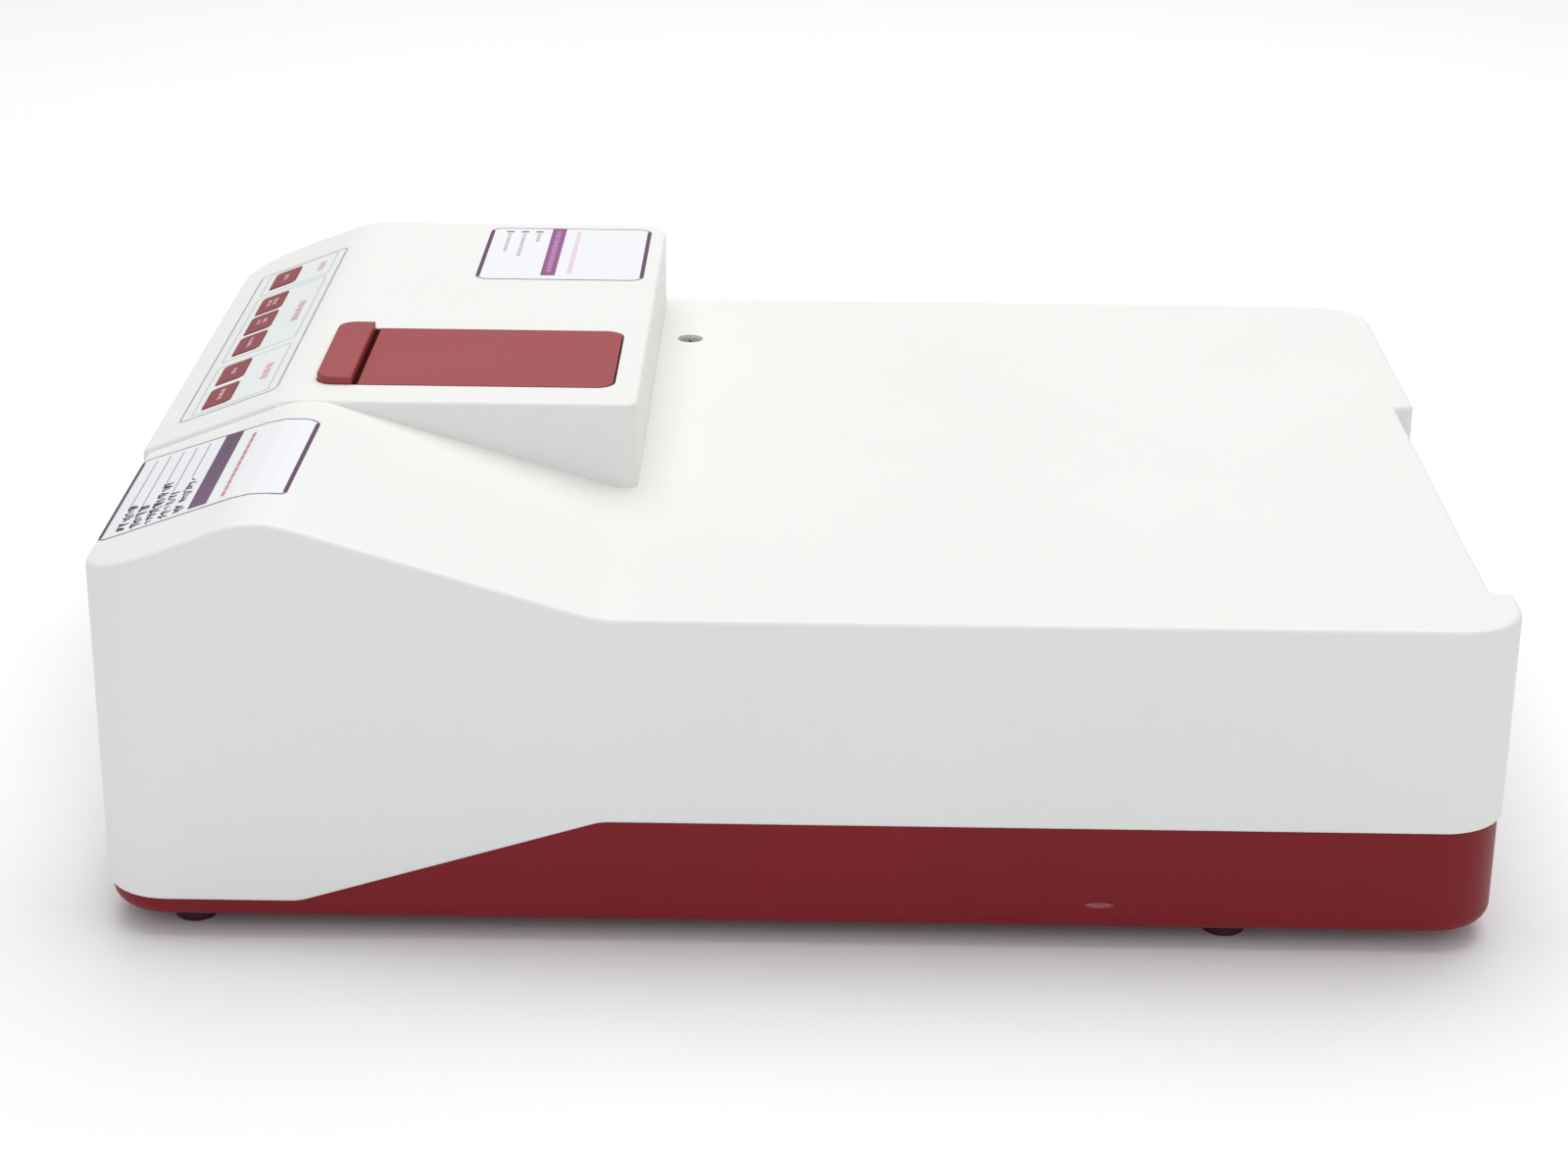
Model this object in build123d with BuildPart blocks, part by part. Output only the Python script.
from build123d import *
import os
from math import atan2, cos, degrees, radians, sin, tan

# Bench-top microplate absorbance reader with a cuvette port on its raised block.
# Millimetres. X to the user's right, Y to the back, Z up. The origin is on the
# table, below the middle of the housing.

# ---- housing -------------------------------------------------------------------
width = 330.0               # across the white cover
depth = 431.2               # front of the raised block to the back of the ears
foot_height = 6.0
wall = 3.0                  # cover skin
base_wall = 3.2
base_step = 1.2             # the base stands this far inside the cover's face
corner_radius = 21.0
edge_round = 1.8            # top edges of the cover
lower_edge_round = 1.2      # lower edge of the cover
base_round = 5.0            # lower edge of the base
deck_z = 107.4
front_top_z = 117.3         # where the front slope leaves the front wall
crest_from_front = 53.3     # front wall to the point where the two slopes would meet
crest_z = 137.8
crest_round = 32.0
bend_from_front = 154.4     # front wall to the foot of the rear slope
bend_round = 40.0
split_front_z = 12.8        # joint between the white cover and the base, at the front
split_rear_z = 41.0
split_rise_from_front = 62.0
split_round = 18.0
lip_height = 4.0            # the base's lip reaches this far up inside the cover
lip_gap = 0.2
recess_from_left = 122.0    # shallow recess in the back, between two ears
recess_width = 176.0
recess_depth = 7.0
recess_round = 3.0

# ---- raised block --------------------------------------------------------------
block_width = 217.5
block_depth = 161.1
block_proud = 1.2           # its front stands this far ahead of the housing's front
block_lift = 1.7            # its front slope stands this far above the housing's
block_top_z = 136.5
block_outer_round = 12.0
block_inner_round = 4.5
block_edge_round = 1.5

# ---- keypad --------------------------------------------------------------------
key_length = 20.0
key_width = 10.2
key_rise = 0.5              # key top above the film
key_travel = 0.5
key_gap = 0.2
key_round = 2.2             # two opposite corners; the other two stay nearly sharp
key_up_slope = 21.3         # key centres, measured up the slope from the front edge
key_columns = (45.0, 77.5, 101.5, 126.0, 158.5, 184.0)    # from the left side
overlay_margin = (29.0, 201.0)                            # left and right ends
overlay_span = (8.6, 45.0)                                # up the slope
overlay_thick = 0.5
board_drop = 6.4            # top of the key board below the slope's face
board_thick = 1.6

# ---- cuvette port --------------------------------------------------------------
port_from_left = 170.0
port_from_front = 80.6
cuvette_side = 12.5
cuvette_height = 45.0
well_gap = 0.1
well_side = 28.0
lid_width = 62.0
lid_front_from_front = 54.3
lid_length = 97.8
lid_round = 6.0
lid_thick = 2.4
lid_proud = 0.2             # lid face above the block
lid_floor_gap = 0.3
grip_groove = 2.0              # finger groove behind the grip
grip_groove_deep = 0.9
lid_side_gap = 0.3
lid_back_gap = 0.7
pocket_wall = 2.5
grip_length = 12.0
grip_rise = 2.4
hinge_from_back = 7.0       # hinge pin to the lid's back edge
hinge_radius = 0.6
hinge_gap = 0.05
hinge_length = 8.0

# ---- transport lock ------------------------------------------------------------
lock_from_left = 53.0
lock_from_block = 10.8
lock_hole_radius = 4.75
lock_head_radius = 4.4
lock_sunk = 1.2

# ---- plate transport -----------------------------------------------------------
plate_length = 127.76       # standard microplate
plate_width = 85.48
plate_height = 14.35
plate_gap = 0.3
carrier_rim = 4.8
carrier_thick = 4.0
carrier_rim_height = 3.0
carrier_z = 41.0
carrier_home = 215.6        # front of the block to the front edge of the carrier
door_from_left = 109.0      # middle of the plate door
door_width = 146.0
door_low_z = 38.0
door_high_z = 63.0
shutter_thick = 2.5
shutter_lap = 3.0
shutter_travel = 42.9
column_left = 30.0          # how far the carrier moves left and right of the door
column_right = 69.0
neck_width = 43.0
rod_radius = 4.0
rod_gap = 0.04
rod_z = 24.0
rod_from_left = 20.0
rod_spacing = 239.0
beam_low_z = 17.5
beam_high_z = 31.0
beam_depth = 30.0
rail_width = 9.0
rail_height = 5.0
rail_gap = 0.06
belt_width = 6.0
belt_thick = 1.2
pulley_radius = 8.0
small_pulley_radius = 6.0
flange_rise = 1.8
belt_z = 29.0
motor_side = 35.0
motor_length = 30.0

# ---- chassis and electronics ---------------------------------------------------
chassis_thick = 2.0
shelf_z = 66.0
shelf_thick = 2.0
shelf_front_from_front = 175.6
shelf_back_gap = 35.6
optic_from_left = 128.5
optic_from_front = 225.6
panel_thick = 1.5
panel_low_z = 46.0
panel_high_z = 101.0
panel_from_left = 130.0
panel_width = 160.0
fan_side = 40.0
fan_thick = 10.0
fibre_radius = 1.2

left = -width / 2
right = width / 2
front = -depth / 2                      # front face of the raised block
main_front = front + block_proud        # front face of the rest of the housing
back = depth / 2
floor_z = foot_height + base_wall
chassis_top = floor_z + chassis_thick
slope_angle = degrees(atan2(crest_z - front_top_z, crest_from_front))


# ---- shared shapes -------------------------------------------------------------
def brick(x_span, y_span, z_span, mode=Mode.ADD):
    """A rectangular solid between three pairs of limits."""
    centre = [(span[0] + span[1]) / 2 for span in (x_span, y_span, z_span)]
    size = [span[1] - span[0] for span in (x_span, y_span, z_span)]
    with Locations(tuple(centre)):
        Box(*size, mode=mode)


def rod_along(axis, centre, radius, length, mode=Mode.ADD):
    """A round bar along X, Y or Z about its middle."""
    turn = {"X": (0, 90, 0), "Y": (90, 0, 0), "Z": (0, 0, 0)}[axis]
    with Locations(tuple(centre)):
        Cylinder(radius, length, rotation=turn, mode=mode)


def finish(piece, name):
    """Name a piece and write it."""
    piece.part.label = name
    export_step(piece.part, f"parts/{name}.step")


def housing_plan(inset):
    """The housing seen from above, pulled in by inset."""
    middle = left + recess_from_left + recess_width / 2
    with BuildSketch() as plan:
        with Locations((0, (main_front + back) / 2)):
            RectangleRounded(width, back - main_front, corner_radius)
        with Locations((middle, back)):
            Rectangle(recess_width, 2 * recess_depth, mode=Mode.SUBTRACT)
        ends = plan.vertices().filter_by(lambda v: abs(abs(v.X - middle) - recess_width / 2) < 0.1)
        fillet(ends, recess_round)
        if inset:
            offset(amount=-inset)
    return plan.sketch


def side_shape(points, radii):
    """A closed side view, in Y and Z, with each corner rounded by its radius."""
    with BuildSketch(Plane.YZ) as view:
        with BuildLine():
            FilletPolyline(*points, radius=radii, close=True)
        make_face()
    return view.sketch


past = 20.0                             # how far cutting shapes run past the housing
front_fall = past * tan(radians(slope_angle))


def housing_view(drop):
    """Side view of the low part of the housing, with its top lowered by drop."""
    points = [
        (main_front - past, -past),
        (main_front - past, front_top_z - front_fall - drop),
        (main_front + crest_from_front, crest_z - drop),
        (main_front + bend_from_front, deck_z - drop),
        (back + past, deck_z - drop),
        (back + past, -past),
    ]
    return side_shape(points, [0, 0, crest_round, bend_round, 0, 0])


def block_view(drop):
    """Side view of the raised block, with its top lowered by drop."""
    low = front_top_z + block_lift - front_fall - drop
    run = (block_top_z - front_top_z - block_lift) / tan(radians(slope_angle))
    points = [
        (main_front - past, -past),
        (main_front - past, low),
        (main_front + run, block_top_z - drop),
        (back, block_top_z - drop),
        (back, -past),
    ]
    return side_shape(points, [0, 0, crest_round, 0, 0])


def above_split():
    """Side view of everything above the joint between cover and base."""
    rise_start = main_front + split_rise_from_front
    rise_end = main_front + bend_from_front
    points = [
        (front - past, split_front_z),
        (rise_start, split_front_z),
        (rise_end, split_rear_z),
        (back + past, split_rear_z),
        (back + past, 2 * crest_z),
        (front - past, 2 * crest_z),
    ]
    return side_shape(points, [0, split_round, split_round, 0, 0, 0])


def rim_edges(form, low_z, high_z):
    """The outer edges of a form between two heights, without joints inside its faces."""
    ends = form.bounding_box()
    found = []
    for edge in form.edges():
        middle = edge.center()
        box = edge.bounding_box()
        upright = box.size.Z > 20 and box.size.X < 1 and box.size.Y < 1
        across = box.size.Y < 0.01 and box.size.Z < 0.01
        inner = ends.min.Y + 2 < middle.Y < ends.max.Y - recess_depth - 2
        if low_z < middle.Z < high_z and not upright and not (across and inner):
            found.append(edge)
    return found


def housing_form(inset):
    """The low part of the housing: plan and side view, crossed."""
    with BuildPart() as form:
        extrude(housing_plan(inset), amount=2 * crest_z)
        extrude(housing_view(inset), amount=width, both=True, mode=Mode.INTERSECT)
        if not inset:
            fillet(rim_edges(form.part, deck_z - 20, 2 * crest_z), edge_round)
    return form.part


def block_form(inset):
    """The raised block: plan and side view, crossed."""
    with BuildPart() as form:
        with BuildSketch() as plan:
            with BuildLine():
                FilletPolyline(
                    (left + inset, front + inset),
                    (left + inset, front + block_depth - inset),
                    (left + block_width - inset, front + block_depth - inset),
                    (left + block_width - inset, front + inset),
                    radius=[
                        corner_radius - inset,
                        block_outer_round - inset,
                        max(block_inner_round - inset, 1),
                        0,
                    ],
                    close=True,
                )
            make_face()
        extrude(amount=2 * crest_z)
        extrude(block_view(inset), amount=width, both=True, mode=Mode.INTERSECT)
        if not inset:
            fillet(rim_edges(form.part, deck_z, 2 * crest_z), block_edge_round)
    return form.part


# The keypad lies on the block's front slope. On this plane x is the housing's X, y
# runs up the slope from the front edge and z points out of the face.
slope_front_z = front_top_z + block_lift - block_proud * tan(radians(slope_angle))
slope_normal = (0, -sin(radians(slope_angle)), cos(radians(slope_angle)))
slope = Plane(origin=(0, front, slope_front_z), x_dir=(1, 0, 0), z_dir=slope_normal)
slope_axis = Axis(slope.origin, slope.z_dir)
key_places = [(left + column, key_up_slope) for column in key_columns]
overlay_middle = left + sum(overlay_margin) / 2
overlay_up = sum(overlay_span) / 2
overlay_size = (overlay_margin[1] - overlay_margin[0], overlay_span[1] - overlay_span[0])
overlay_round = 3.0
board_posts = [(left + 25.0, 13.0), (left + 25.0, 38.0), (left + 205.0, 13.0), (left + 205.0, 38.0)]



def key_outline(gap):
    """A key seen from above, with its lower left and upper right corners rounded."""
    with BuildSketch() as outline:
        Rectangle(key_length, key_width)
        by_corner = outline.vertices().sort_by(lambda v: v.X / key_length + v.Y / key_width)
        fillet([by_corner[0], by_corner[-1]], key_round)
        sharp = outline.vertices().sort_by(lambda v: v.X / key_length - v.Y / key_width)
        fillet([sharp[0], sharp[-1]], 0.4)
        if gap:
            offset(amount=gap)
    return outline.sketch


port = (left + port_from_left, front + port_from_front)
port_side = cuvette_side + 3.5
lid_front = front + lid_front_from_front
lid_back = lid_front + lid_length
lid_top = block_top_z + lid_proud
lid_x = (port[0] - lid_width / 2, port[0] + lid_width / 2)
hinge_y = lid_back - hinge_from_back
hinge_z = lid_top - lid_thick / 2
pocket_x = (lid_x[0] - lid_side_gap, lid_x[1] + lid_side_gap)
pocket_y = (lid_front - lid_side_gap, lid_back + lid_back_gap)
pocket_floor = lid_top - lid_thick - lid_floor_gap
pan_low = pocket_floor - wall
lock = (left + lock_from_left, front + block_depth + lock_from_block)
lock_boss_radius = 8.0
lock_boss_drop = 16.0
lock_seat = 4.7
lock_thread_radius = 2.5
door_x = left + door_from_left
door_span = (door_x - door_width / 2, door_x + door_width / 2)
panel_x = (left + panel_from_left, left + panel_from_left + panel_width)
recess_y = back - recess_depth
panel_y = (recess_y - wall - panel_thick, recess_y - wall)
panel_lap = 5.0

os.makedirs("parts", exist_ok=True)

# ---- white cover ---------------------------------------------------------------
with BuildPart() as top_cover:
    add(housing_form(0))
    add(block_form(0))
    extrude(above_split(), amount=width, both=True, mode=Mode.INTERSECT)
    fillet(rim_edges(top_cover.part, 0, split_rear_z + 1), lower_edge_round)
    add(housing_form(wall), mode=Mode.SUBTRACT)
    add(block_form(wall), mode=Mode.SUBTRACT)
    # bosses under the slope for the key board, and the seat for the key film
    with BuildSketch(slope.offset(-board_drop)):
        with Locations(*board_posts):
            Circle(3)
    extrude(amount=board_drop - wall / 2)
    with BuildSketch(slope):
        with Locations((overlay_middle, overlay_up)):
            RectangleRounded(overlay_size[0] + 0.2, overlay_size[1] + 0.2, overlay_round)
    extrude(amount=-overlay_thick, mode=Mode.SUBTRACT)
    with BuildSketch(slope):
        with Locations(*key_places):
            Rectangle(key_length - 4, key_width - 3)
    extrude(amount=-2 * wall, mode=Mode.SUBTRACT)
    # pocket for the cuvette lid, with the port in its floor and a well for its tail
    brick(
        (pocket_x[0] - pocket_wall, pocket_x[1] + pocket_wall),
        (pocket_y[0] - pocket_wall, pocket_y[1] + pocket_wall),
        (pan_low, block_top_z - wall / 2),
    )
    pocket_middle = (port[0], sum(pocket_y) / 2)
    with BuildSketch(Plane.XY.offset(pocket_floor)):
        with Locations(pocket_middle):
            RectangleRounded(pocket_x[1] - pocket_x[0], pocket_y[1] - pocket_y[0], lid_round + lid_side_gap)
    extrude(amount=2 * wall, mode=Mode.SUBTRACT)
    well_span = pocket_y[1] - (hinge_y - lid_thick)
    with BuildSketch(Plane.XY.offset(pan_low - 1)):
        with Locations(pocket_middle):
            RectangleRounded(pocket_x[1] - pocket_x[0], pocket_y[1] - pocket_y[0], lid_round + lid_side_gap)
        with Locations((port[0], pocket_y[1] - well_span / 2)):
            Rectangle(pocket_x[1] - pocket_x[0], well_span, mode=Mode.INTERSECT)
    extrude(amount=wall + 2, mode=Mode.SUBTRACT)
    brick(
        (port[0] - port_side / 2, port[0] + port_side / 2),
        (port[1] - port_side / 2, port[1] + port_side / 2),
        (pan_low - 1, pocket_floor + 1),
        Mode.SUBTRACT,
    )
    rod_along("X", (port[0], hinge_y, hinge_z), hinge_radius + hinge_gap, lid_width + 4, Mode.SUBTRACT)
    # boss and stepped hole for the transport lock
    with BuildSketch(Plane.XY.offset(deck_z - lock_boss_drop)):
        with Locations(lock):
            Circle(lock_boss_radius)
    extrude(amount=lock_boss_drop - wall / 2)
    with Locations((lock[0], lock[1], deck_z)):
        CounterBoreHole(lock_thread_radius + 0.05, lock_hole_radius, lock_seat, depth=lock_boss_drop + 5)
    # plate door in the front, connector panel in the back
    brick(door_span, (front - past, front + wall + past), (door_low_z, door_high_z), Mode.SUBTRACT)
    brick(
        (panel_x[0] + panel_lap, panel_x[1] - panel_lap),
        (recess_y - 2 * wall, back + past),
        (panel_low_z + panel_lap / 2, panel_high_z - panel_lap / 2),
        Mode.SUBTRACT,
    )
finish(top_cover, "top_cover")

# ---- base ----------------------------------------------------------------------
with BuildPart() as base_pan:
    with BuildSketch(Plane.XY.offset(foot_height)):
        with Locations((0, (main_front + back) / 2)):
            RectangleRounded(
                width - 2 * base_step,
                back - main_front - 2 * base_step,
                corner_radius - base_step,
            )
    extrude(amount=2 * split_rear_z)
    fillet(base_pan.faces().sort_by(Axis.Z)[0].edges(), base_round)
    extrude(housing_plan(base_step), amount=4 * split_rear_z, mode=Mode.INTERSECT)
    with BuildSketch(Plane.XY.offset(floor_z)):
        add(housing_plan(base_step + base_wall))
    extrude(amount=2 * split_rear_z, mode=Mode.SUBTRACT)
    extrude(above_split(), amount=width, both=True, mode=Mode.SUBTRACT)

with BuildPart() as lip:
    extrude(housing_plan(wall + lip_gap), amount=2 * split_rear_z)
    extrude(housing_plan(base_step + base_wall), amount=2 * split_rear_z, mode=Mode.SUBTRACT)
    extrude(above_split().moved(Location((0, 0, lip_height))), amount=width, both=True, mode=Mode.SUBTRACT)
    extrude(above_split().moved(Location((0, 0, -base_wall))), amount=width, both=True, mode=Mode.INTERSECT)

screw_places = [(x, y) for x in (left + 30, right - 30) for y in (front + 60, 0, back - 60)]
screw_head_radius = 3.5
screw_head_height = 1.6
screw_radius = 1.5

with BuildPart(mode=Mode.PRIVATE) as base_with_lip:
    add(base_pan.part)
    add(lip.part)
    with Locations(*[(x, y, foot_height) for x, y in screw_places]):
        Cylinder(
            screw_head_radius + 0.3,
            screw_head_height + 0.2,
            align=(Align.CENTER, Align.CENTER, Align.MIN),
            mode=Mode.SUBTRACT,
        )
        Cylinder(
            screw_radius + 0.05,
            base_wall,
            align=(Align.CENTER, Align.CENTER, Align.MIN),
            mode=Mode.SUBTRACT,
        )
finish(base_with_lip, "base_pan")

# ---- rubber feet ---------------------------------------------------------------
foot_top_radius = 8.0
foot_low_radius = 6.5
foot_places = {
    "front_left": (left + 17.0, front + 28.3),
    "front_right": (right - 17.0, front + 28.3),
    "rear_left": (left + 17.0, back - 83.5),
    "rear_right": (right - 17.0, back - 83.5),
}
for place, (x, y) in foot_places.items():
    with BuildPart() as foot:
        with Locations((x, y, foot_height)):
            Cone(foot_low_radius, foot_top_radius, foot_height, align=(Align.CENTER, Align.CENTER, Align.MAX))
        fillet(foot.edges().sort_by(Axis.Z)[0], 0.8)
    finish(foot, f"foot_{place}")

# ---- keypad --------------------------------------------------------------------
with BuildPart() as keypad_overlay:
    with BuildSketch(slope.offset(-overlay_thick)):
        with Locations((overlay_middle, overlay_up)):
            RectangleRounded(*overlay_size, overlay_round - 0.1)
        with Locations(*key_places):
            add(key_outline(key_gap), mode=Mode.SUBTRACT)
    extrude(amount=overlay_thick + 0.1)
finish(keypad_overlay, "keypad_overlay")

dome_height = 0.4
stem_gap = 0.1
cap_low = key_travel + 0.05 - overlay_thick
stem_low = key_travel + stem_gap + dome_height - board_drop
for number, place in enumerate(key_places, start=1):
    with BuildPart() as key:
        with BuildSketch(slope.offset(cap_low)):
            with Locations(place):
                add(key_outline(0))
        extrude(amount=key_rise - cap_low)
        fillet(key.faces().sort_by(slope_axis)[-1].edges(), 0.2)
        with BuildSketch(slope.offset(stem_low)):
            with Locations(place):
                Rectangle(key_length - 6, key_width - 5)
        extrude(amount=cap_low - stem_low)
    finish(key, f"key_{number}")

with BuildPart() as key_board:
    with BuildSketch(slope.offset(-board_drop - board_thick)):
        with Locations((left + 115, 25.5)):
            Rectangle(190, 33)
    extrude(amount=board_thick)
    with BuildSketch(slope.offset(-board_drop)):
        with Locations(*key_places):
            Circle(3)
    extrude(amount=dome_height)
finish(key_board, "key_board")

# ---- cuvette port --------------------------------------------------------------
with BuildPart() as cuvette_lid:
    with BuildSketch(Plane.XY.offset(lid_top - lid_thick)):
        with Locations((port[0], (lid_front + lid_back) / 2)):
            RectangleRounded(lid_width, lid_length, lid_round)
    extrude(amount=lid_thick + grip_rise)
    brick(
        (lid_x[0] - 1, lid_x[1] + 1),
        (lid_front + grip_length, lid_back + 1),
        (lid_top, lid_top + 2 * grip_rise),
        Mode.SUBTRACT,
    )
    grip_top = cuvette_lid.faces().filter_by(Axis.Z).sort_by(Axis.Z)[-1]
    fillet(grip_top.edges(), 0.6)
    groove_start = lid_front + grip_length
    brick(
        (lid_x[0] - 1, lid_x[1] + 1),
        (groove_start, groove_start + grip_groove),
        (lid_top - grip_groove_deep, lid_top + 1),
        Mode.SUBTRACT,
    )
    low_face = cuvette_lid.faces().filter_by(Axis.Z).sort_by(Axis.Z)[0]
    chamfer(low_face.edges(), 0.4)
    for side in (-1, 1):
        pin_middle = port[0] + side * (lid_width / 2 - hinge_length / 2)
        rod_along("X", (pin_middle, hinge_y, hinge_z), hinge_radius, hinge_length, Mode.SUBTRACT)
finish(cuvette_lid, "cuvette_lid")

with BuildPart() as lid_pins:
    for side in (-1, 1):
        pin_middle = port[0] + side * (lid_width / 2 - hinge_length / 2 + 1)
        rod_along("X", (pin_middle, hinge_y, hinge_z), hinge_radius, hinge_length + 2)
finish(lid_pins, "lid_pins")

well_top = pan_low
well_floor = well_top - cuvette_height
well_low = well_floor - 4
beam_height = well_floor + 8.5
beam_hole = 2.5
with BuildPart() as cuvette_well:
    with BuildSketch(Plane.XY.offset(well_low)):
        with Locations(port):
            RectangleRounded(well_side, well_side, 2)
    extrude(amount=well_top - well_low)
    with BuildSketch(Plane.XY.offset(well_floor)):
        with Locations(port):
            Rectangle(cuvette_side + 2 * well_gap, cuvette_side + 2 * well_gap)
    extrude(amount=cuvette_height, mode=Mode.SUBTRACT)
    rod_along("X", (port[0], port[1], beam_height), beam_hole, well_side, Mode.SUBTRACT)
finish(cuvette_well, "cuvette_well")

# ---- transport lock ------------------------------------------------------------
lock_top = deck_z - lock_sunk
lock_head_height = lock_seat - lock_sunk
with BuildPart() as transport_lock:
    with Locations((lock[0], lock[1], lock_top)):
        Cylinder(lock_head_radius, lock_head_height, align=(Align.CENTER, Align.CENTER, Align.MAX))
        Cylinder(lock_thread_radius, lock_head_height + 14, align=(Align.CENTER, Align.CENTER, Align.MAX))
    chamfer(transport_lock.edges().filter_by(GeomType.CIRCLE).sort_by(Axis.Z)[-1], 0.4)
    with BuildSketch(Plane.XY.offset(lock_top)):
        with Locations(Location((lock[0], lock[1], 0), (0, 0, 20))):
            Rectangle(2.2 * lock_head_radius, 1.4)
    extrude(amount=-1.8, mode=Mode.SUBTRACT)
finish(transport_lock, "transport_lock")

# ---- plate door ----------------------------------------------------------------
shutter_y = (front + wall + 0.3, front + wall + 0.3 + shutter_thick)
shutter_z = (door_low_z - shutter_lap, door_high_z + shutter_lap)
shutter_x = (door_span[0] - shutter_lap, door_span[1] + shutter_lap)
with BuildPart() as plate_shutter:
    brick(shutter_x, shutter_y, shutter_z)
finish(plate_shutter, "plate_shutter")

guide_gap = 0.2
guide_wide = 7.0
guide_z = (shutter_z[0] - 2, shutter_z[1] + shutter_travel + 3)
with BuildPart() as shutter_guides:
    for side, edge_x in ((-1, shutter_x[0]), (1, shutter_x[1])):
        inner = edge_x - side * shutter_lap
        outer = edge_x + side * (guide_wide - shutter_lap)
        groove = edge_x + side * guide_gap
        brick(sorted((inner, outer)), (front + wall, shutter_y[1] + guide_gap + 2.5), guide_z)
        brick(sorted((inner, groove)), (front + wall, shutter_y[1] + guide_gap), guide_z, Mode.SUBTRACT)
finish(shutter_guides, "shutter_guides")

# ---- chassis -------------------------------------------------------------------
chassis_half = width / 2 - base_step - base_wall - 0.4
rod_x = (left + rod_from_left, left + rod_from_left + rod_spacing)
bracket_thick = 6.0
bracket_inset = 11.6                    # from the block's front
bracket_back_inset = 19.6               # from the back, clear of the recess
chassis_inset = 6.6
belt_from_rod = 12.0
belt_x = rod_x[1] + belt_from_rod
front_bracket_y = (front + bracket_inset, front + bracket_inset + bracket_thick)
rear_bracket_y = (back - bracket_back_inset, back - bracket_back_inset + bracket_thick)
chassis_back = recess_y - base_step - base_wall - 2
with BuildPart() as chassis_plate:
    with BuildSketch(Plane.XY.offset(floor_z)):
        with Locations((0, (front + chassis_inset + chassis_back) / 2)):
            RectangleRounded(2 * chassis_half, chassis_back - front - chassis_inset, corner_radius - 5)
    extrude(amount=chassis_thick)
    with Locations(*[(x, y, floor_z) for x, y in screw_places]):
        Cylinder(
            screw_radius + 0.05,
            2 * chassis_thick,
            mode=Mode.SUBTRACT,
        )
finish(chassis_plate, "chassis_plate")

with BuildPart() as chassis_screws:
    with Locations(*[(x, y, foot_height + screw_head_height + 0.1) for x, y in screw_places]):
        Cylinder(screw_head_radius, screw_head_height, align=(Align.CENTER, Align.CENTER, Align.MAX))
        Cylinder(screw_radius, chassis_top - foot_height, align=(Align.CENTER, Align.CENTER, Align.MIN))
finish(chassis_screws, "chassis_screws")

for name, span in (("rod_bracket_front", front_bracket_y), ("rod_bracket_rear", rear_bracket_y)):
    with BuildPart() as rod_bracket:
        brick((rod_x[0] - 8, rod_x[1] + 8), span, (chassis_top, rod_z + rod_radius + 3))
        for x in rod_x:
            rod_along("Y", (x, sum(span) / 2, rod_z), rod_radius, bracket_thick, Mode.SUBTRACT)
    finish(rod_bracket, name)

rod_length = rear_bracket_y[1] - front_bracket_y[0]
for name, x in (("rod_left", rod_x[0]), ("rod_right", rod_x[1])):
    with BuildPart() as rod:
        rod_along("Y", (x, (front_bracket_y[0] + rear_bracket_y[1]) / 2, rod_z), rod_radius, rod_length)
        chamfer(rod.edges().filter_by(GeomType.CIRCLE), 0.5)
    finish(rod, name)

# ---- beam that carries the plate along the rods --------------------------------
beam_from_carrier = 25.0
beam_end = 25.0
beam_wall = 6.0
beam_top = 4.0
motor_tab = 14.0
tab_thick = 3.0
nest_trim = 0.7                         # the carrier is this much shallower than its rims say
slider_half = 11.0
slider_lift = 0.8                       # slider above the beam
carrier_y = front + carrier_home
carrier_depth = plate_width + 2 * plate_gap + 2 * carrier_rim - nest_trim
carrier_length = plate_length + 2 * plate_gap + 2 * carrier_rim
beam_start = carrier_y + carrier_depth + beam_from_carrier
beam_y = (beam_start, beam_start + beam_depth)
beam_mid = sum(beam_y) / 2
rail_z = (beam_high_z, beam_high_z + rail_height)
cross_belt_y = beam_mid + 30
cross_pulley_x = (rod_x[0] + 8, door_x + 126)
small_motor_height = 15.0
with BuildPart() as cross_beam:
    brick((rod_x[0] - 7, rod_x[1] + 7), beam_y, (beam_low_z, beam_high_z))
    for x in cross_pulley_x:
        tab_y = (beam_y[1], cross_belt_y + motor_tab)
        brick((x - motor_tab, x + motor_tab), tab_y, (beam_high_z - tab_thick, beam_high_z))
    # the rods' bores run on under the tabs
    for x in rod_x:
        rod_along("Y", (x, beam_mid, rod_z), rod_radius + rod_gap, 4 * beam_depth, Mode.SUBTRACT)
    brick(
        (rod_x[0] + beam_end, rod_x[1] - beam_end),
        (beam_y[0] + beam_wall, beam_y[1] - beam_wall),
        (beam_low_z, beam_high_z - beam_top),
        Mode.SUBTRACT,
    )
finish(cross_beam, "cross_beam")

with BuildPart() as cross_rail:
    brick((rod_x[0], rod_x[1]), (beam_mid - rail_width / 2, beam_mid + rail_width / 2), rail_z)
finish(cross_rail, "cross_rail")

neck_x = door_x - (column_right - column_left) / 2
clamp_y = cross_belt_y - small_pulley_radius - belt_thick - 0.4
with BuildPart() as rail_slider:
    slider_x = (neck_x - neck_width / 2, neck_x + neck_width / 2)
    brick(slider_x, (beam_mid - slider_half, clamp_y), (rail_z[0] + slider_lift, carrier_z))
    brick(
        (neck_x - neck_width, neck_x + neck_width),
        (beam_mid - rail_width / 2 - rail_gap, beam_mid + rail_width / 2 + rail_gap),
        (rail_z[0], rail_z[1] + rail_gap),
        Mode.SUBTRACT,
    )
finish(rail_slider, "rail_slider")

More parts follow.
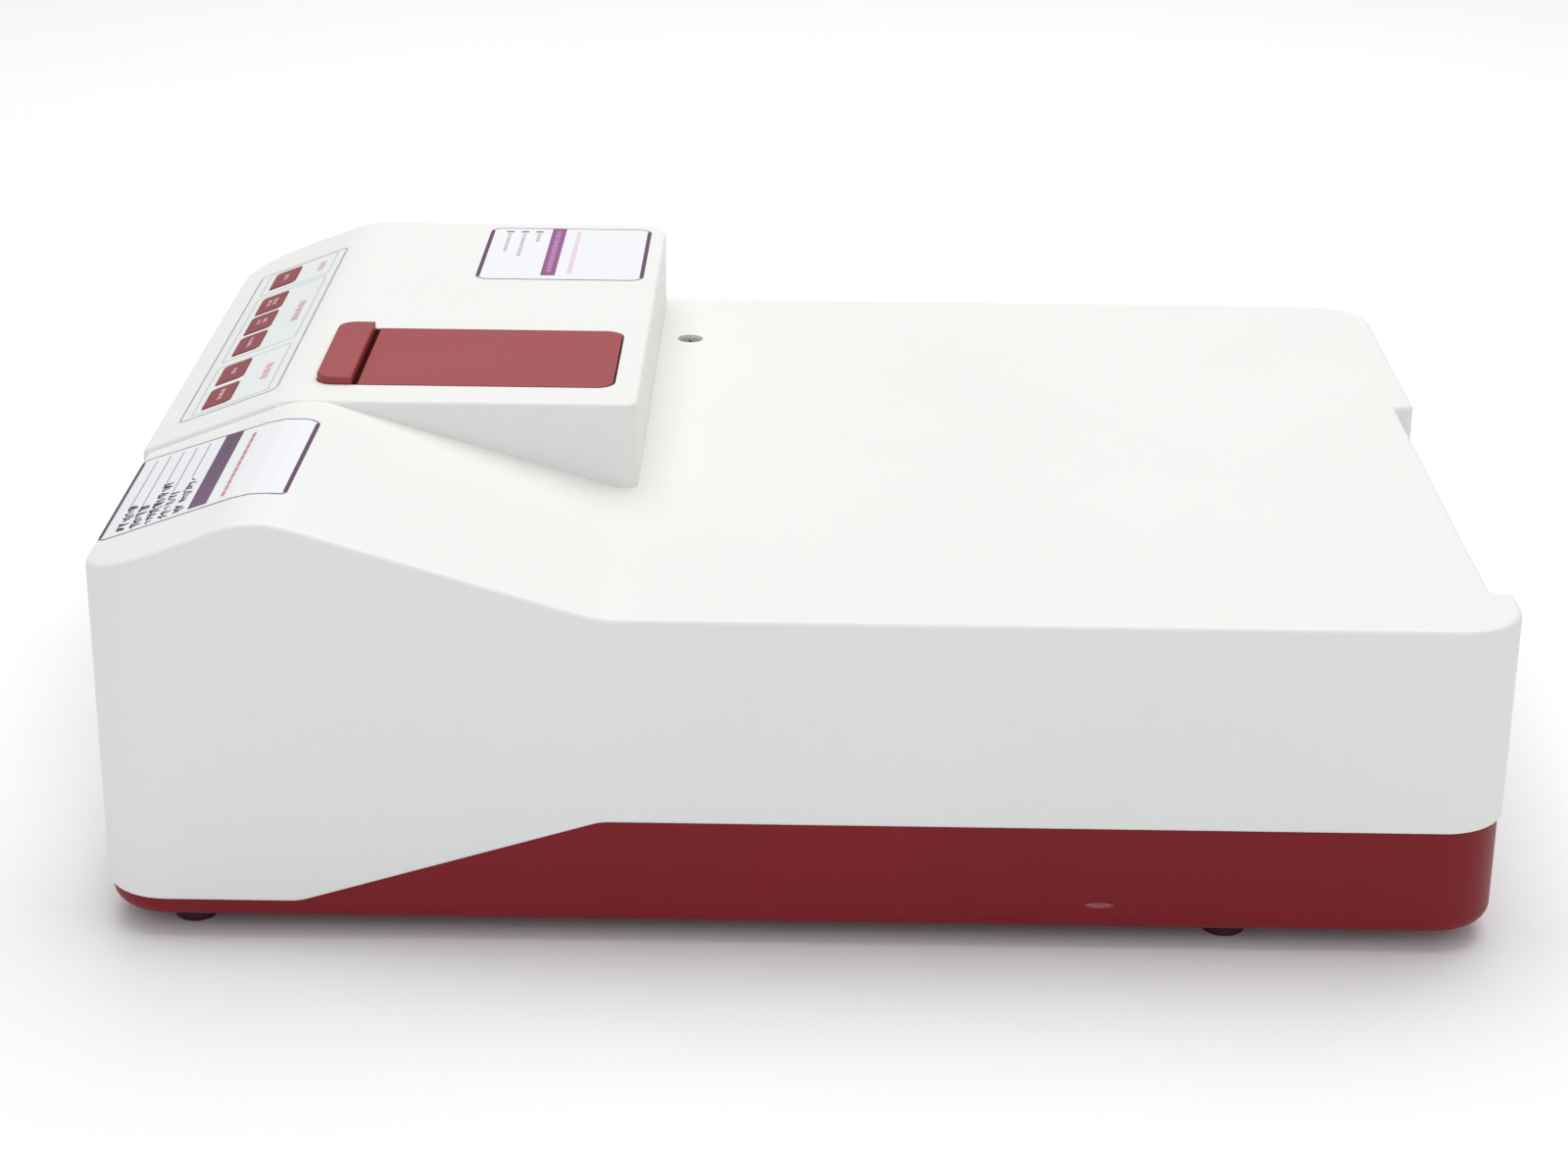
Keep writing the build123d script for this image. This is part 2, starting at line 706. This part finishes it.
with BuildPart() as plate_carrier:
    carrier_x = (door_x - carrier_length / 2, door_x + carrier_length / 2)
    nest_x = (carrier_x[0] + carrier_rim, carrier_x[1] - carrier_rim)
    nest_inset = carrier_rim - nest_trim / 2
    nest_y = (carrier_y + nest_inset, carrier_y + carrier_depth - nest_inset)
    ledge = 6.0
    with BuildSketch(Plane.XY.offset(carrier_z)):
        with Locations((door_x, carrier_y + carrier_depth / 2)):
            RectangleRounded(carrier_length, carrier_depth, 5)
    extrude(amount=carrier_thick + carrier_rim_height)
    brick(nest_x, nest_y, (carrier_z + carrier_thick, carrier_z + 20), Mode.SUBTRACT)
    brick(
        (nest_x[0] + ledge, nest_x[1] - ledge),
        (nest_y[0] + ledge, nest_y[1] - ledge),
        (carrier_z - 1, carrier_z + 20),
        Mode.SUBTRACT,
    )
    brick(
        (neck_x - neck_width / 2, neck_x + neck_width / 2),
        (carrier_y + carrier_depth - 1, beam_mid + slider_half),
        (carrier_z, carrier_z + carrier_thick),
    )
finish(plate_carrier, "plate_carrier")

# ---- belt drive along the housing ----------------------------------------------
drive_y = (front_bracket_y[1] + pulley_radius + 6, rear_bracket_y[0] - motor_side / 2 + 1)


def belt_loop(plane, ends, radius):
    """A flat belt around two equal pulleys whose centres are given on the plane."""
    middle = ((ends[0][0] + ends[1][0]) / 2, (ends[0][1] + ends[1][1]) / 2)
    span = abs(ends[1][0] - ends[0][0]) + abs(ends[1][1] - ends[0][1])
    turn = 0 if abs(ends[1][0] - ends[0][0]) > abs(ends[1][1] - ends[0][1]) else 90
    with BuildPart() as loop:
        with BuildSketch(plane):
            with Locations(Location((middle[0], middle[1], 0), (0, 0, turn))):
                SlotCenterToCenter(span, 2 * (radius + belt_thick))
                SlotCenterToCenter(span, 2 * radius, mode=Mode.SUBTRACT)
        extrude(amount=belt_width / 2, both=True)
    return loop


def pulley(axis, centre, radius, bore):
    """A pulley with two flanges, bored for its shaft."""
    along = {"X": (1, 0, 0), "Z": (0, 0, 1)}[axis]
    with BuildPart() as wheel:
        rod_along(axis, centre, radius - 0.1, belt_width + 1)
        for side in (-1, 1):
            shift = side * (belt_width / 2 + 0.9)
            place = [centre[i] + along[i] * shift for i in range(3)]
            rod_along(axis, place, radius + flange_rise, 1)
        rod_along(axis, centre, bore, 3 * belt_width, Mode.SUBTRACT)
    return wheel


shaft_radius = 2.5
shaft_gap = 0.05
drive_belt = belt_loop(Plane.YZ.offset(belt_x), [(drive_y[0], belt_z), (drive_y[1], belt_z)], pulley_radius)
finish(drive_belt, "drive_belt")
for name, y in (("drive_idler", drive_y[0]), ("drive_pulley", drive_y[1])):
    drive_wheel = pulley("X", (belt_x, y, belt_z), pulley_radius, shaft_radius + shaft_gap)
    finish(drive_wheel, name)

motor_x = belt_x + belt_width / 2 + 3.5
with BuildPart() as drive_motor:
    with BuildSketch(Plane.YZ.offset(motor_x)):
        with Locations((drive_y[1], belt_z)):
            RectangleRounded(motor_side, motor_side, 3)
    extrude(amount=motor_length)
    rod_along("X", (motor_x - 5, drive_y[1], belt_z), shaft_radius, 12)
finish(drive_motor, "drive_motor")

with BuildPart() as idler_bracket:
    brick((motor_x - 1, motor_x + 1), (drive_y[0] - 8, drive_y[0] + 8), (chassis_top, belt_z + 6))
    brick((motor_x - 1, motor_x + 14), (drive_y[0] - 8, drive_y[0] + 8), (chassis_top, chassis_top + 2))
    rod_along("X", (motor_x - 5, drive_y[0], belt_z), shaft_radius, 12)
finish(idler_bracket, "idler_bracket")

# ---- belt drive across the beam ------------------------------------------------
cross_belt_z = beam_high_z + 1.5 + belt_width / 2
cross_belt = belt_loop(
    Plane.XY.offset(cross_belt_z),
    [(cross_pulley_x[0], cross_belt_y), (cross_pulley_x[1], cross_belt_y)],
    small_pulley_radius,
)
finish(cross_belt, "cross_belt")
small_shaft = 1.5
for name, x in (("cross_idler", cross_pulley_x[0]), ("cross_pulley", cross_pulley_x[1])):
    cross_wheel = pulley("Z", (x, cross_belt_y, cross_belt_z), small_pulley_radius, small_shaft + shaft_gap)
    finish(cross_wheel, name)
with BuildPart() as cross_motor:
    with BuildSketch(Plane.XY.offset(beam_high_z - tab_thick - small_motor_height)):
        with Locations((cross_pulley_x[1], cross_belt_y)):
            RectangleRounded(2 * motor_tab, 2 * motor_tab, 3)
    extrude(amount=small_motor_height)
finish(cross_motor, "cross_motor")
with BuildPart() as cross_shafts:
    for x in cross_pulley_x:
        rod_along("Z", (x, cross_belt_y, beam_high_z + 5), small_shaft, 10)
finish(cross_shafts, "cross_shafts")

# ---- shelf for the optics and electronics --------------------------------------
shelf_top = shelf_z + shelf_thick
shelf_y = (front + shelf_front_from_front, back - shelf_back_gap)
shelf_half = chassis_half
optic = (left + optic_from_left, front + optic_from_front)
head_radius = 10.0
head_gap = 0.3
standoff_height = 4.0
standoff_radius = 2.5
flange_span = 30.0
board_x = (optic[0] + 26.5, optic[0] + 124.5)
board_y = (optic[1] - 43, optic[1] + 70)
board_corners = [(x, y) for x in (board_x[0] + 5, board_x[1] - 5) for y in (board_y[0] + 5, board_y[1] - 5)]
with BuildPart() as shelf:
    with BuildSketch(Plane.XY.offset(shelf_z)):
        with Locations((0, sum(shelf_y) / 2)):
            Rectangle(2 * shelf_half, shelf_y[1] - shelf_y[0])
        with Locations(optic):
            Circle(head_radius + head_gap, mode=Mode.SUBTRACT)
    extrude(amount=shelf_thick)
    for side in (-1, 1):
        for leg_y in (shelf_y[0], shelf_y[1] - flange_span):
            outer = side * shelf_half
            inner = outer - side * shelf_thick
            brick(sorted((outer, inner)), (leg_y, leg_y + flange_span), (chassis_top, shelf_z))
    with BuildSketch(Plane.XY.offset(shelf_top)):
        with Locations(*board_corners):
            Circle(standoff_radius)
    extrude(amount=standoff_height)
finish(shelf, "shelf")

# ---- optics --------------------------------------------------------------------
plate_top = carrier_z + carrier_thick + plate_height
head_low = plate_top + 2.2
tube_z = shelf_top + 12
tube_radius = 7.0
with BuildPart() as read_head:
    with Locations((optic[0], optic[1], head_low)):
        Cylinder(head_radius, tube_z + 9 - head_low, align=(Align.CENTER, Align.CENTER, Align.MIN))
        Cylinder(4, 3, align=(Align.CENTER, Align.CENTER, Align.MIN), mode=Mode.SUBTRACT)
    with BuildSketch(Plane.XY.offset(shelf_top)):
        with Locations(optic):
            RectangleRounded(26, 26, 3)
    extrude(amount=3)
    rod_along("Y", (optic[0], optic[1] + 12, tube_z), tube_radius, 20)
finish(read_head, "read_head")

lamp_x = (optic[0] - 20, optic[0] + 20)
lamp_y = (optic[1] + 50, optic[1] + 100)
lamp_top = shelf_top + 32
with BuildPart() as flash_lamp:
    brick(lamp_x, lamp_y, (shelf_top, lamp_top))
    fillet(flash_lamp.edges().filter_by(Axis.Z), 3)
    nozzle_y = (optic[1] + 22, lamp_y[0])
    rod_along("Y", (optic[0], sum(nozzle_y) / 2, tube_z), tube_radius, nozzle_y[1] - nozzle_y[0])
    for shift in range(5):
        fin_y = lamp_y[0] + 8 + 8 * shift
        brick(lamp_x, (fin_y, fin_y + 3), (lamp_top - 5, lamp_top + 1), Mode.SUBTRACT)
finish(flash_lamp, "flash_lamp")

spectro_x = (left + 17, left + 92)
spectro_y = (optic[1] + 30, optic[1] + 115)
spectro_top = shelf_top + 26
lid_inset = 6.0
with BuildPart() as spectrometer:
    brick(spectro_x, spectro_y, (shelf_top, spectro_top))
    fillet(spectrometer.edges().filter_by(Axis.Z), 4)
    brick(
        (spectro_x[0] + lid_inset, spectro_x[1] - lid_inset),
        (spectro_y[0] + lid_inset, spectro_y[1] - lid_inset),
        (spectro_top, spectro_top + 2),
    )
finish(spectrometer, "spectrometer")

collector_height = 6.0
with BuildPart() as plate_collector:
    brick((optic[0] - 12, optic[0] + 12), (optic[1] - 14, optic[1] + 12), (chassis_top, chassis_top + 2))
    with Locations((optic[0], optic[1], chassis_top)):
        Cylinder(8, collector_height - 1, align=(Align.CENTER, Align.CENTER, Align.MIN))
        Cylinder(5, collector_height - 0.5, align=(Align.CENTER, Align.CENTER, Align.MIN))
finish(plate_collector, "plate_collector")


def fibre(points, radii):
    """A light guide along straight runs joined by arcs."""
    with BuildPart() as guide:
        with BuildLine():
            path = FilletPolyline(*points, radius=radii)
        with BuildSketch(Plane(origin=path @ 0, z_dir=path % 0)):
            Circle(fibre_radius)
        sweep(path=path)
    return guide


fibre_low = chassis_top + 3.3
fibre_back = back - 26.6
spectro_mid = sum(spectro_x) / 2
plate_fibre = fibre(
    [
        (optic[0], optic[1] + 8.2, fibre_low),
        (optic[0], fibre_back, fibre_low),
        (optic[0], fibre_back, tube_z),
        (spectro_mid, fibre_back, tube_z),
        (spectro_mid, spectro_y[1], tube_z),
    ],
    [15, 15, 15],
)
finish(plate_fibre, "plate_fibre")

fibre_high = shelf_top + 27
supply_fibre = fibre(
    [
        (optic[0] + 14, lamp_y[0], fibre_high),
        (optic[0] + 14, optic[1] + 30, fibre_high),
        (port[0] + 28, optic[1] - 40, fibre_high + 1),
        (port[0] + 28, port[1], beam_height),
        (port[0] + well_side / 2, port[1], beam_height),
    ],
    [25, 25, 9],
)
finish(supply_fibre, "supply_fibre")

cuvette_fibre = fibre(
    [
        (port[0] - well_side / 2, port[1], beam_height),
        (port[0] - 30, port[1], beam_height),
        (port[0] - 30, optic[1] - 60, fibre_high),
        (spectro_mid, optic[1] - 25, fibre_high - 4),
        (spectro_mid, spectro_y[0] - 20, tube_z),
        (spectro_mid, spectro_y[0], tube_z),
    ],
    [9, 25, 25, 12],
)
finish(cuvette_fibre, "cuvette_fibre")

# ---- electronics ---------------------------------------------------------------
pcb_z = shelf_top + standoff_height
pcb_thick = 1.6
with BuildPart() as main_board:
    brick(board_x, board_y, (pcb_z, pcb_z + pcb_thick))
finish(main_board, "main_board")

with BuildPart() as board_parts:
    board_face = pcb_z + pcb_thick
    for x, y, size_x, size_y, tall in (
        (24, 24, 18, 18, 1.8),
        (60, 26, 12, 16, 1.8),
        (28, 62, 20, 14, 1.8),
        (84, 56, 8, 36, 8.0),
        (52, 100, 40, 8, 8.0),
        (62, 68, 10, 10, 5.0),
    ):
        place = (board_x[0] + x, board_y[0] + y)
        brick(
            (place[0] - size_x / 2, place[0] + size_x / 2),
            (place[1] - size_y / 2, place[1] + size_y / 2),
            (board_face, board_face + tall),
        )
    with Locations(*[(board_x[0] + 20 + 12 * n, board_y[0] + 84, board_face) for n in range(4)]):
        Cylinder(4, 10, align=(Align.CENTER, Align.CENTER, Align.MIN))
finish(board_parts, "board_parts")

supply_x = (right - 67, right - 13)
supply_y = (optic[1] + 30, optic[1] + 150)
with BuildPart() as power_supply:
    brick(supply_x, supply_y, (shelf_top, shelf_top + 30))
    with BuildSketch(Plane.XY.offset(shelf_top + 30)):
        with Locations((sum(supply_x) / 2, sum(supply_y) / 2)):
            with GridLocations(7, 7, 6, 14):
                Circle(1.8)
    extrude(amount=-1.2, mode=Mode.SUBTRACT)
finish(power_supply, "power_supply")

# ---- connector panel -----------------------------------------------------------
inlet = (panel_x[1] - 36, panel_low_z + 18)
switch = (panel_x[1] - 78, panel_low_z + 18)
usb = (panel_x[1] - 104, panel_low_z + 16)
fan = (panel_x[0] + 26, (panel_low_z + panel_high_z) / 2)
inlet_hole = (27.4, 20.0)
switch_hole = (19.4, 13.2)
usb_hole = (12.0, 11.0)
vent_slot = 3.0
vent_pitch = 5.4


def back_sketch_place(x, z):
    """A place on a sketch drawn on the back plane, whose own x runs the other way."""
    return (-x, z)


back_view = Plane(origin=(0, 0, 0), x_dir=(-1, 0, 0), z_dir=(0, 1, 0))
with BuildPart() as rear_panel:
    with BuildSketch(back_view.offset(panel_y[0])):
        with Locations(back_sketch_place(sum(panel_x) / 2, (panel_low_z + panel_high_z) / 2)):
            RectangleRounded(panel_width, panel_high_z - panel_low_z, 1.5)
        for place, hole in ((inlet, inlet_hole), (switch, switch_hole), (usb, usb_hole)):
            with Locations(back_sketch_place(*place)):
                Rectangle(*hole, mode=Mode.SUBTRACT)
        with Locations(back_sketch_place(*fan)):
            for row in range(-3, 4):
                with Locations((0, row * vent_pitch)):
                    half = (17.5 ** 2 - (row * vent_pitch) ** 2) ** 0.5
                    SlotOverall(2 * half, vent_slot, mode=Mode.SUBTRACT)
    extrude(amount=panel_thick)
finish(rear_panel, "rear_panel")

inlet_flange = (48.0, 24.0)
inlet_depth = 22.0
inlet_cavity = (23.0, 15.5, 16.0)
with BuildPart() as power_inlet:
    with BuildSketch(back_view.offset(panel_y[1])):
        with Locations(back_sketch_place(*inlet)):
            RectangleRounded(*inlet_flange, 4)
    extrude(amount=2)
    with BuildSketch(back_view.offset(panel_y[1])):
        with Locations(back_sketch_place(*inlet)):
            Rectangle(inlet_hole[0] - 0.2, inlet_hole[1] - 0.2)
    extrude(amount=-inlet_depth)
    with BuildSketch(back_view.offset(panel_y[1] + 2)):
        with Locations(back_sketch_place(*inlet)):
            Rectangle(inlet_cavity[0], inlet_cavity[1])
    extrude(amount=-inlet_cavity[2], mode=Mode.SUBTRACT)
    # two long corners of the cavity are cut off, so a plug goes in one way only
    for side in (-1, 1):
        corner = (inlet[0] + side * inlet_cavity[0] / 2, inlet[1] + inlet_cavity[1] / 2)
        with BuildSketch(back_view.offset(panel_y[1] + 2)):
            with Locations(back_sketch_place(*corner)):
                with Locations(Location((0, 0, 0), (0, 0, 45))):
                    Rectangle(2.8, 2.8)
        extrude(amount=-inlet_cavity[2])
finish(power_inlet, "power_inlet")

pin_size = (2.0, 4.0)
pin_spacing = 7.0
pin_length = 13.0
with BuildPart() as inlet_pins:
    pin_foot = panel_y[1] + 2 - inlet_cavity[2]
    with BuildSketch(back_view.offset(pin_foot)):
        with Locations(back_sketch_place(inlet[0], inlet[1])):
            with Locations((-pin_spacing, -2), (0, 1.5), (pin_spacing, -2)):
                Rectangle(*pin_size)
    extrude(amount=pin_length)
finish(inlet_pins, "inlet_pins")

switch_flange = (22.0, 16.0)
switch_depth = 16.0
rocker_size = (15.0, 9.6)
rocker_pivot_y = panel_y[1] - 3.0
rocker_tilt = 7.0
with BuildPart() as switch_frame:
    with BuildSketch(back_view.offset(panel_y[1])):
        with Locations(back_sketch_place(*switch)):
            RectangleRounded(*switch_flange, 1.5)
    extrude(amount=1.6)
    with BuildSketch(back_view.offset(panel_y[1])):
        with Locations(back_sketch_place(*switch)):
            Rectangle(switch_hole[0] - 0.2, switch_hole[1] - 0.2)
    extrude(amount=-switch_depth)
    with BuildSketch(back_view.offset(panel_y[1] + 1.6)):
        with Locations(back_sketch_place(*switch)):
            Rectangle(rocker_size[0] + 1.8, rocker_size[1] + 0.8)
    extrude(amount=-(switch_depth - 2), mode=Mode.SUBTRACT)
finish(switch_frame, "switch_frame")

# The rocker tips about an upright axis, and rests tipped to its off side.
rocker_axis = Location((switch[0], rocker_pivot_y, switch[1]), (0, 0, rocker_tilt))
with BuildPart() as rocker_blank:
    with BuildSketch(Plane.XY):
        with BuildLine():
            outer_line = Polyline((-7.4, 4.2), (-6.4, -3.0), (6.4, -3.0), (7.4, 4.2))
            ThreePointArc(outer_line @ 1, (0, 2.6), outer_line @ 0)
        make_face()
    extrude(amount=rocker_size[1] / 2, both=True)
with BuildPart() as power_rocker:
    add(rocker_blank.part.moved(rocker_axis))
finish(power_rocker, "power_rocker")

usb_flange = 1.5
usb_depth = 15.0
with BuildPart() as usb_socket:
    with BuildSketch(back_view.offset(panel_y[1] + usb_flange)):
        with Locations(back_sketch_place(*usb)):
            Rectangle(usb_hole[0] - 0.2, usb_hole[1] - 0.2)
            Rectangle(8.6, 7.8, mode=Mode.SUBTRACT)
    extrude(amount=-usb_depth)
    with BuildSketch(back_view.offset(panel_y[1] + usb_flange - usb_depth)):
        with Locations(back_sketch_place(*usb)):
            Rectangle(usb_hole[0] - 0.2, usb_hole[1] - 0.2)
    extrude(amount=2)
    with BuildSketch(back_view.offset(panel_y[1] + usb_flange - usb_depth)):
        with Locations(back_sketch_place(*usb)):
            Rectangle(5.6, 3.2)
    extrude(amount=usb_depth - 3)
finish(usb_socket, "usb_socket")

fan_y = (panel_y[0] - fan_thick, panel_y[0])
fan_bore = 18.6
hub_radius = 9.0
with BuildPart() as fan_frame:
    with BuildSketch(back_view.offset(fan_y[0])):
        with Locations(back_sketch_place(*fan)):
            RectangleRounded(fan_side, fan_side, 3)
            Circle(fan_bore, mode=Mode.SUBTRACT)
            Circle(hub_radius)
            for turn in (45, 135):
                with Locations(Location((0, 0, 0), (0, 0, turn))):
                    Rectangle(2 * fan_bore + 1, 2.4)
    extrude(amount=1.6)
    with BuildSketch(back_view.offset(fan_y[0])):
        with Locations(back_sketch_place(*fan)):
            RectangleRounded(fan_side, fan_side, 3)
            Circle(fan_bore, mode=Mode.SUBTRACT)
    extrude(amount=fan_thick)
    rod_along("Y", (fan[0], fan_y[0] + 4.1, fan[1]), 1.5, 5)
finish(fan_frame, "fan_frame")

blades = 7
with BuildPart() as fan_rotor:
    with BuildSketch(back_view.offset(fan_y[0] + 2.1)):
        with Locations(back_sketch_place(*fan)):
            Circle(hub_radius)
    extrude(amount=fan_thick - 3)
    with BuildSketch(back_view.offset(fan_y[0] + 2.6)):
        with Locations(back_sketch_place(*fan)):
            with PolarLocations(13.2, blades, rotate=True):
                with Locations(Location((0, 0, 0), (0, 0, 22))):
                    SlotOverall(10, 4.6)
    extrude(amount=fan_thick - 4.2)
    with BuildSketch(back_view.offset(fan_y[0] + 1.6)):
        with Locations(back_sketch_place(*fan)):
            Circle(1.55)
    extrude(amount=5.1, mode=Mode.SUBTRACT)
finish(fan_rotor, "fan_rotor")

with BuildPart() as inlet_screws:
    for side in (-1, 1):
        rod_along("Y", (inlet[0] + side * 20, panel_y[1] + 2.6, inlet[1]), 2.6, 1.2)
finish(inlet_screws, "inlet_screws")
